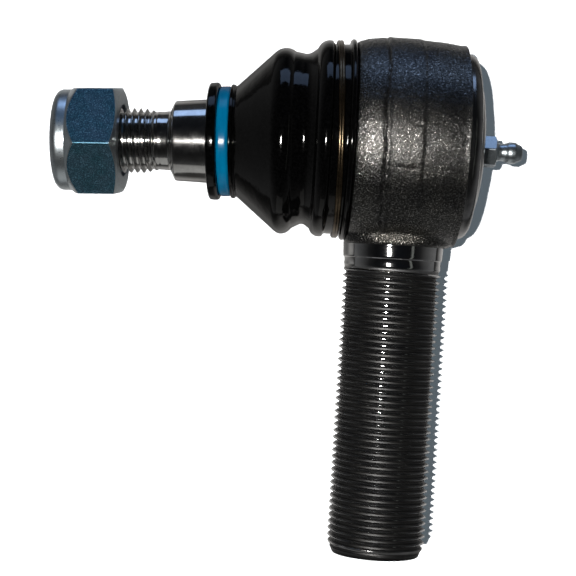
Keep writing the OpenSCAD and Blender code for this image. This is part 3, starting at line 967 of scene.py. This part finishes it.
# ---------------------------------------------------------------- stage, in metres

FLOOR_HALF = 4
FLOOR_GLOW = (0.006, 0.026, 0.04)
MAT_PALE = 0.55
MAT_DARK = 0.03
MAT_FADE = (0.01, 0.045)
MAT_EDGE = 0.065
BOOT_SHADE = 0.38
BOOT_MIDDLE_X = -0.042
BOOT_REACH = (0.034, 0.014)

CAMERA_SHIFT = (-0.0049, 0.0087)
CAMERA_HEIGHT = 0.4933
CAMERA_LENS = 100.2
CAMERA_TURNS = (("Z", 3.4), ("X", -0.97), ("Y", -0.85))


def stage_piece(name, points, faces, look):
    """A mesh object of the stage, which casts no shadow."""
    mesh = bpy.data.meshes.new(name)
    mesh.from_pydata(points, [], faces)
    mesh.materials.append(look)
    piece = bpy.data.objects.new(name, mesh)
    bpy.context.scene.collection.objects.link(piece)
    piece.visible_shadow = False
    return piece


def floor():
    """A plain pale floor, which only the camera sees.

    Its faint glow fills the shadow, and further off it makes up for the light's fall-off.
    """
    s = Shader("floor", Roughness=0.9, Emission_Strength=1.0)
    s.set("Base Color", s.ramp(s.noise(300, 2), (0.3, 0.78), (0.7, 0.8)))
    far = s.distance((0, 0, 0), [FLOOR_HALF / MM] * 3)
    s.set("Emission Color", s.ramp(far, (0.045, FLOOR_GLOW), (0.1, 0.15), (0.2, 0.42), (0.34, 0.68),
                                   (0.68, 0.86), (1.0, 0.9)))
    low, high = cad_box
    x, y = [(low[i] + high[i]) / 2 for i in range(2)]
    corners = [(x + FLOOR_HALF * a, y + FLOOR_HALF * b, low[2])
               for a, b in ((-1, -1), (1, -1), (1, 1), (-1, 1))]
    piece = stage_piece("floor", corners, [(0, 1, 2, 3)], s.material)
    piece.visible_glossy = False
    piece.visible_diffuse = False


def beyond(x, y, across, along):
    """How far points lie outside a rectangle, and 0 inside it."""
    out_x = np.maximum(across[0] - x, x - across[1]).clip(0)
    out_y = np.maximum(along[0] - y, y - along[1]).clip(0)
    return np.hypot(out_x, out_y)


def mat(margin=0.08, cell=0.005):
    """The floor as the part reflects it: pale near the part, darker further off and by the boot."""
    low, high = (np.array(corner) for corner in cad_box)
    head_x = (SPIGOT_END * MM, LIP_END * MM)
    x = np.arange(low[0] - margin, high[0] + margin, cell)
    y = np.arange(low[1] - margin, high[1] + margin, cell)
    x, y = np.meshgrid(x, y, indexing="ij")
    stud = beyond(x, y, (low[0], high[0]), (-SEAT_R * MM, SEAT_R * MM))
    shank = beyond(x, y, (-SHANK_R * MM, SHANK_R * MM), (low[1], 0))
    head = beyond(x, y, head_x, (-HEAD_R * MM, HEAD_R * MM))
    away = np.minimum(np.minimum(stud, shank), head)
    points = np.stack([x, y, np.full_like(x, low[2])], axis=-1).reshape(-1, 3)
    faces = [f for f in skin_faces(*x.shape, False, True) if away.reshape(-1)[f].min() < MAT_EDGE]
    by_boot = 1 - smooth((np.hypot(x - BOOT_MIDDLE_X, y) - BOOT_REACH[0]) / BOOT_REACH[1])
    near = 1 - smooth((away - MAT_FADE[0]) / MAT_FADE[1])
    shade = MAT_DARK + (MAT_PALE - BOOT_SHADE * by_boot) * near
    s = Shader("mat", Roughness=0.9)
    fade = s.tree.nodes.new("ShaderNodeAttribute")
    fade.attribute_name = "shade"
    s.set("Base Color", fade.outputs["Color"])
    piece = stage_piece("mat", points.tolist(), [tuple(map(int, f)) for f in faces], s.material)
    piece.data.attributes.new("shade", "FLOAT", "POINT").data.foreach_set("value", shade.reshape(-1))
    piece.visible_camera = False


def area_light(name, at, aim, width, height, radiance, colour):
    """A soft rectangular light that the camera doesn't see."""
    data = bpy.data.lights.new(name, "AREA")
    data.shape = "RECTANGLE"
    data.size, data.size_y = width, height
    data.energy = radiance * math.pi * width * height
    data.color = colour
    light = bpy.data.objects.new(name, data)
    light.location = at
    light.rotation_euler = (Vector(aim) - Vector(at)).to_track_quat("-Z", "Y").to_euler()
    light.visible_camera = False
    bpy.context.scene.collection.objects.link(light)
    return light


def limit(light, piece, state):
    """Makes a light reach one piece only (INCLUDE) or all but that piece (EXCLUDE)."""
    group = bpy.data.collections.new(light.name + "_receivers")
    light.light_linking.receiver_collection = group
    group.objects.link(bpy.data.objects[piece])
    group.collection_objects[0].light_linking.link_state = state


def block(light, pieces):
    """Makes a light cast the shadows of some pieces only."""
    group = bpy.data.collections.new(light.name + "_blockers")
    light.light_linking.blocker_collection = group
    for piece in pieces:
        group.objects.link(bpy.data.objects[piece])


def lights():
    """Hard sunlight, the bright and dark bands that the part reflects, and a light for the floor."""
    key = area_light("key", (-0.3, -0.11, 1.35), (0, 0, 0), 0.1, 0.118, 520, (1, 0.97, 0.93))
    limit(key, "floor", "EXCLUDE")
    # the floor gets its light from a smaller source, so that the shadow has a clear edge
    flash = area_light("flash", (-0.24, -0.06, 1.35), (0, 0, 0), 0.014, 0.014, 60000, (1, 1, 1))
    limit(flash, "floor", "INCLUDE")
    block(flash, ["forged_housing", "pressed_cap", "nipple"])
    area_light("horizon", (-0.03, 1.5, 0.17), (-0.03, 0, 0.17), 1.3, 0.56, 1.9, (0.43, 0.62, 1))
    area_light("wall", (-0.1, -1.0, -0.12), (-0.1, 0, -0.12), 0.6, 0.7, 0.34, (1, 0.99, 0.95))
    area_light("tree", (0.9, -0.1, 1.0), (0, 0, 0), 1.6, 0.12, 0.3, (0.95, 1, 0.9))
    sky = area_light("sky", (-0.3, 1.05, 1.05), (-0.09, 0, 0), 1.0, 0.9, 0.2, (0.14, 0.48, 1))
    limit(sky, "collar_nut", "INCLUDE")


def world():
    """Dark surroundings for reflections, paler towards the ground, and a pale backdrop."""
    new = bpy.data.worlds.new("studio")
    new.use_nodes = True
    s = Shader.__new__(Shader)  # only its node calls, on the world's own tree
    s.tree = new.node_tree
    split = s.tree.nodes.new("ShaderNodeSeparateXYZ")
    s.link(s.tree.nodes.new("ShaderNodeTexCoord").outputs["Generated"], split.inputs[0])
    across, along, up = split.outputs
    # the side that the horizon light stands on stays dark below it
    ahead = s.math("MAXIMUM", s.math("MULTIPLY", along, -1.0), 0.0)
    beside = s.math("ADD", s.math("ABSOLUTE", across), ahead)
    height = s.math("MULTIPLY_ADD", up, 0.5, 0.5)
    level = s.ramp(height, (0.1, 0.3), (0.31, 0.25), (0.46, 0.17), (0.55, 0.12), (0.65, 0.07),
                   (0.73, 0.03), (0.86, 0.012))
    back = s.tree.nodes["Background"]
    s.link(s.mix(s.math("MINIMUM", beside, 1.0), (0.008, 0.01, 0.014), level), back.inputs["Color"])
    pale = s.tree.nodes.new("ShaderNodeBackground")
    pale.inputs["Color"].default_value = (0.9, 0.9, 0.9, 1)
    pick = s.tree.nodes.new("ShaderNodeMixShader")
    s.link(s.tree.nodes.new("ShaderNodeLightPath").outputs["Is Camera Ray"], pick.inputs["Fac"])
    s.link(back.outputs[0], pick.inputs[1])
    s.link(pale.outputs[0], pick.inputs[2])
    s.link(pick.outputs[0], s.tree.nodes["World Output"].inputs["Surface"])
    bpy.context.scene.world = new


def camera():
    """Looks straight down on the part, rolled a little, from about half a metre."""
    low, high = cad_box
    centre = Vector([(a + b) / 2 for a, b in zip(low, high)])
    data = bpy.data.cameras.new("camera")
    data.sensor_width = 36
    data.lens = CAMERA_LENS
    item = bpy.data.objects.new("camera", data)
    tilt = Matrix.Identity(4)
    for axis, degrees in CAMERA_TURNS:
        tilt = tilt @ Matrix.Rotation(math.radians(degrees), 4, axis)
    at = Vector((centre.x + CAMERA_SHIFT[0], centre.y + CAMERA_SHIFT[1], CAMERA_HEIGHT))
    item.matrix_world = Matrix.Translation(at) @ tilt
    bpy.context.scene.collection.objects.link(item)
    bpy.context.scene.camera = item


housing()
ball_stud()
lock_nut()
nut_insert()
dust_boot()
boot_ring()
boot_clamp_wire()
closing_cap()
grease_nipple()
spring("wear_spring", "pressure_spring", WEAR_SPRING)
spring("check_spring", "nipple_spring", CHECK_SPRING)
hidden_nodes()
floor()
mat()
lights()
world()
camera()
bpy.context.scene.view_settings.view_transform = "Standard"
